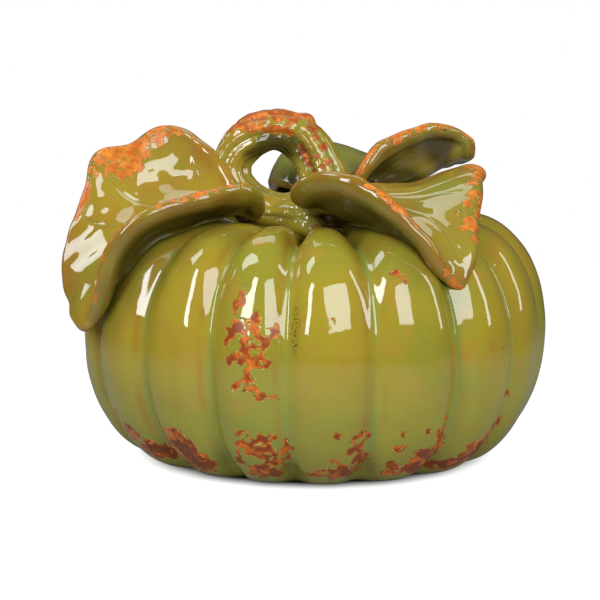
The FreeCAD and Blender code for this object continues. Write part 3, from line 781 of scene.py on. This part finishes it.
def glaze(name, cell=4.8, brown=1.0, warm=0.0):
    """Clear green glaze over orange slip over brown clay; it crawls back where the piece is worn.

    cell is the size in mm of the glaze islands, brown how brown the middles of patches are, warm how much
    the glaze leans to rust.
    """
    material = bpy.data.materials.new(name)
    n = Nodes(material)
    place = n.add("ShaderNodeTexCoord").outputs["Object"]
    wear, pool_and_sheen, flank, bare, painted_shade, iron = (n.attribute(key) for key in ATTRIBUTES)

    broad = n.noise(place, 60, 2.0)
    middle = n.noise(place, 17, 3.0, 0.55)
    fine = n.noise(place, 2.2, 3.0, 0.6)
    base = n.mix(n.step(broad, 0.38, 0.62), MOSS, OLIVE)
    base = n.mix(n.math("MULTIPLY", n.step(middle, 0.44, 0.70), 0.9), base, OCHRE)
    base = n.mix(n.math("MULTIPLY", n.step(fine, 0.4, 0.75), 0.10), base, STRAW)
    above_floor = n.add("ShaderNodeSeparateXYZ", {0: place}).outputs["Z"]
    # greener towards the bottom of the body
    base = n.mix(n.math("MULTIPLY", n.step(above_floor, 0.080, 0.035), 0.4), base, LOWER_GREEN)
    tint = n.math("MULTIPLY", flank, n.step(n.noise(place, 26, 2.0), 0.34, 0.62))
    tint = n.math("MULTIPLY_ADD", n.step(n.noise(place, 44, 2.0), 0.30, 0.62), warm, tint, clamp=True)
    base = n.mix(n.math("MULTIPLY", tint, 0.6), base, RUST)
    # teal glaze pooled in grooves and veins; on the leaves it also carries painted reflection
    teal_share = n.math("MULTIPLY", pool_and_sheen, n.step(n.noise(place, 34, 2.0), 0.25, 0.6))
    base = n.mix(n.math("MULTIPLY", teal_share, 0.5), base, TEAL)
    # painted shade: darker towards a dark olive where pieces lie in shade
    base = n.mix(n.math("MULTIPLY", painted_shade, 0.92), base, PAINTED_SHADE_OLIVE)

    # the glaze crawls into rounded islands; the slip shows round them
    warp = n.add("ShaderNodeTexNoise", {"Vector": place, "Scale": 1 / (cell * 0.8 * MM), "Detail": 1.0})
    offset = n.add("ShaderNodeVectorMath", {0: warp.outputs["Color"], 1: (0.5, 0.5, 0.5)},
                   operation="SUBTRACT")
    moved = n.add("ShaderNodeVectorMath", {0: offset.outputs[0], "Scale": 0.8 * cell * MM},
                  operation="SCALE")
    where = n.add("ShaderNodeVectorMath", {0: place, 1: moved.outputs[0]}, operation="ADD").outputs[0]
    cells = n.add("ShaderNodeTexVoronoi", {"Vector": where, "Scale": 1 / (cell * MM), "Smoothness": 0.5},
                  feature="SMOOTH_F1")
    ragged = n.noise(place, 2.4, 2.0, 0.5)
    reach = n.math("MULTIPLY", n.step(wear, 0.12, 0.5), 1.25)
    field = n.math("MULTIPLY_ADD", cells.outputs["Distance"], reach, wear)
    field = n.math("MULTIPLY_ADD", n.math("SUBTRACT", n.noise(place, 11.0, 1.0), 0.5), 0.5, field)
    field = n.math("MULTIPLY_ADD", n.math("SUBTRACT", ragged, 0.5), 0.14, field)
    slip = n.step(field, *SLIP_SHOWS)
    halo = n.math("SUBTRACT", n.step(field, *HALO_SHOWS), slip, clamp=True)
    core = n.step(field, *MIDDLE_SHOWS)
    burnt = n.step(wear, 0.85, 1.05)
    dry = n.math("MAXIMUM", n.step(field, *CLAY_SHOWS), bare)

    ember = n.step(n.noise(place, 3.0, 2.0), 0.45 - 0.2 * brown, 0.75 - 0.2 * brown)
    fringe = n.mix(ember, ORANGE, EMBER)
    middle_tone = n.mix(burnt, RED_BROWN, CLAY)
    inner = n.math("MULTIPLY", n.step(n.noise(place, 7.0, 1.0), 0.3, 0.55), brown)
    ground = n.mix(n.math("MULTIPLY", core, inner), fringe, middle_tone)
    ground = n.mix(dry, ground, n.mix(n.step(fine, 0.3, 0.7), CLAY, DRY_CLAY))
    # pale band round the patches, partly a painted highlight on the glaze edge
    base = n.mix(n.math("MULTIPLY", halo, 0.4), base, STRAW)
    base = n.mix(n.math("MAXIMUM", slip, bare), base, ground)

    # iron specks, sparse everywhere and dense in a few burnt spots
    dots = n.add("ShaderNodeTexVoronoi", {"Vector": place, "Scale": 1 / (9.0 * MM)}, feature="F1")
    speck = n.math("MULTIPLY", n.step(dots.outputs["Distance"], 0.075, 0.045), n.step(broad, 0.60, 0.64))
    grains = n.math("MULTIPLY", n.step(n.noise(place, 1.3, 3.0, 0.7), 0.46, 0.62), n.step(iron, 0.1, 0.9))
    base = n.mix(n.math("MULTIPLY", n.math("MAXIMUM", speck, grains), 0.8), base, IRON)

    rough = n.math("MULTIPLY_ADD", slip, 0.12, 0.05)
    rough = n.math("MULTIPLY_ADD", n.math("MULTIPLY", core, slip), 0.12, rough)
    rough = n.math("MULTIPLY_ADD", painted_shade, 0.12, rough)
    rough = n.math("MAXIMUM", rough, n.math("MULTIPLY", dry, n.math("MAXIMUM", slip, bare)))
    rough = n.math("MINIMUM", rough, 0.78)

    height = n.math("MULTIPLY", n.step(field, *GLAZE_LIP), -0.5)
    height = n.math("MULTIPLY_ADD", halo, 0.32, height)
    height = n.math("MULTIPLY_ADD", n.noise(place, 9.0, 1.0), 0.14, height)
    height = n.math("MULTIPLY_ADD", n.math("MULTIPLY", fine, n.math("MAXIMUM", dry, 0.04)), 0.12, height)
    bump = n.add("ShaderNodeBump", {"Height": height, "Strength": 1.0, "Distance": 1.0 * MM})

    shader = n.add("ShaderNodeBsdfPrincipled", {
        "Base Color": base, "Roughness": rough, "Normal": bump.outputs["Normal"], "IOR": GLAZE_IOR,
        "Specular IOR Level": n.math("MULTIPLY_ADD", slip, -0.32, 0.5)})
    output = n.add("ShaderNodeOutputMaterial")
    n.tree.links.new(shader.outputs["BSDF"], output.inputs["Surface"])
    return material


# ---------------------------------------------------------------- stage, lights, camera

FLOOR_RADIUS = 0.9
FLOOR_SOLID = 0.22
FLOOR_COLOUR = (0.41, 0.41, 0.385, 1)
# Seen straight on, the floor is white outside this ring; inside it the contact shadow stays dark
SHADOW_RING = (0.084, 0.106)
FLOOR_WHITE = 0.9
FLOOR_SIDES = 96

DAYLIGHT = (0.89, 0.95, 1.0)
STUDIO_COLOUR = (0.9, 0.93, 1.0, 1)
STUDIO_STRENGTH = 0.06
LAMP_AIM = Vector((0, 0, 0.08))

CAMERA_LENS = 133.6
CAMERA_ELEVATION = radians(9.0)
CAMERA_DISTANCE = 1.3
CAMERA_TARGET = Vector((-0.0085, 0, 0.0885))


def build_floor():
    """A pale disc that fades into the white background."""
    material = bpy.data.materials.new("pale_floor")
    n = Nodes(material)
    place = n.add("ShaderNodeTexCoord").outputs["Object"]
    away = n.add("ShaderNodeVectorMath", {0: place}, operation="LENGTH").outputs["Value"]
    shader = n.add("ShaderNodeBsdfPrincipled", {"Base Color": FLOOR_COLOUR, "Roughness": 0.6, "IOR": 1.3})
    seen = n.add("ShaderNodeLightPath").outputs["Is Camera Ray"]
    open_floor = n.math("MULTIPLY", n.step(away, *SHADOW_RING), FLOOR_WHITE)
    glow = n.math("MULTIPLY", seen, open_floor)
    white = n.add("ShaderNodeEmission", {"Color": (1, 1, 1, 1), "Strength": glow})
    both = n.add("ShaderNodeAddShader")
    clear = n.add("ShaderNodeBsdfTransparent")
    fade = n.add("ShaderNodeMixShader")
    output = n.add("ShaderNodeOutputMaterial")
    n.tree.links.new(shader.outputs["BSDF"], both.inputs[0])
    n.tree.links.new(white.outputs[0], both.inputs[1])
    n.tree.links.new(n.step(away, FLOOR_SOLID, FLOOR_RADIUS), fade.inputs[0])
    n.tree.links.new(both.outputs[0], fade.inputs[1])
    n.tree.links.new(clear.outputs[0], fade.inputs[2])
    n.tree.links.new(fade.outputs[0], output.inputs["Surface"])
    mesh = bpy.data.meshes.new("floor")
    turns = [2 * pi * k / FLOOR_SIDES for k in range(FLOOR_SIDES)]
    rim = [(FLOOR_RADIUS * cos(turn), FLOOR_RADIUS * sin(turn), 0) for turn in turns]
    mesh.from_pydata(rim, [], [tuple(range(FLOOR_SIDES))])
    mesh.materials.append(material)
    floor = bpy.data.objects.new("floor", mesh)
    bpy.context.collection.objects.link(floor)


def softbox(name, azimuth, elevation, distance, width, height, power):
    """Area light round the object; azimuth from -Y towards +X, in degrees. It faces the body's middle."""
    light = bpy.data.lights.new(name, "AREA")
    light.shape = "RECTANGLE"
    light.size = width
    light.size_y = height
    light.energy = power
    light.color = DAYLIGHT
    lamp = bpy.data.objects.new(name, light)
    az, el = radians(azimuth), radians(elevation)
    lamp.location = LAMP_AIM + distance * Vector((sin(az) * cos(el), -cos(az) * cos(el), sin(el)))
    lamp.rotation_euler = (LAMP_AIM - lamp.location).to_track_quat("-Z", "Y").to_euler()
    lamp.visible_camera = False
    bpy.context.collection.objects.link(lamp)


def build_world():
    """White behind the object, a dim studio in its reflections."""
    world = bpy.data.worlds.new("studio")
    world.use_nodes = True
    tree = world.node_tree
    tree.nodes.clear()
    path = tree.nodes.new("ShaderNodeLightPath")
    white = tree.nodes.new("ShaderNodeBackground")
    white.inputs["Color"].default_value = (1, 1, 1, 1)
    white.inputs["Strength"].default_value = 1.0
    dim = tree.nodes.new("ShaderNodeBackground")
    dim.inputs["Color"].default_value = STUDIO_COLOUR
    dim.inputs["Strength"].default_value = STUDIO_STRENGTH
    choose = tree.nodes.new("ShaderNodeMixShader")
    output = tree.nodes.new("ShaderNodeOutputWorld")
    tree.links.new(path.outputs["Is Camera Ray"], choose.inputs[0])
    tree.links.new(dim.outputs[0], choose.inputs[1])
    tree.links.new(white.outputs[0], choose.inputs[2])
    tree.links.new(choose.outputs[0], output.inputs["Surface"])
    bpy.context.scene.world = world


def build_camera():
    """The photo's view: nine degrees above level, through a long lens."""
    camera = bpy.data.cameras.new("camera")
    camera.sensor_width = 36.0
    camera.lens = CAMERA_LENS
    camera.clip_end = 50
    eye = bpy.data.objects.new("camera", camera)
    back = Vector((0, -cos(CAMERA_ELEVATION), sin(CAMERA_ELEVATION)))
    eye.location = CAMERA_TARGET + back * CAMERA_DISTANCE
    eye.rotation_euler = (-back).to_track_quat("-Z", "Y").to_euler()
    bpy.context.collection.objects.link(eye)
    bpy.context.scene.camera = eye


body_glaze = glaze("body_glaze")
stem_glaze = glaze("stem_glaze", cell=4.5, brown=0.7, warm=0.2)
leaf_glaze = glaze("leaf_glaze", cell=5.0, brown=0.3, warm=0.5)

build_body(body_glaze)
build_loop(stem_glaze)
build_foot(stem_glaze)
# The right leaf's wash is its greener tint; the back leaf's wash is a pale green painted reflection and its
# spots are painted shade; the back-right leaf has painted streaks of reflection on its underside.
build_leaf("left_leaf", "leaf_left", leaf_glaze, 31)
build_leaf("right_leaf", "leaf_right", leaf_glaze, 51, wash_and_sheen=0.2)
build_leaf("back_right_leaf", "leaf_back_right", leaf_glaze, 71, shade=0.95, streaks=0.9)
build_leaf("back_leaf", "leaf_back", leaf_glaze, 91, shade=0.7, wash_and_sheen=1.0, painted_shade_spots=BACK_LEAF_PAINTED_SHADE)

build_floor()
# azimuth and elevation in degrees; distance, width and height in metres; power in watts
softbox("right_window", 23, 31, 1.5, 0.85, 0.9, 14.6)
softbox("left_window", -38, 31, 1.5, 0.30, 1.0, 11)
softbox("left_side", -84, 60, 1.5, 0.36, 0.55, 3.6)
softbox("left_low", -114, 27, 1.5, 0.42, 0.34, 2.2)
softbox("top", 180, 58, 1.3, 0.9, 0.5, 2.7)
softbox("rim_right", 86, 27, 1.5, 0.20, 1.2, 4.5)
build_world()
build_camera()
bpy.context.scene.view_settings.view_transform = "Standard"
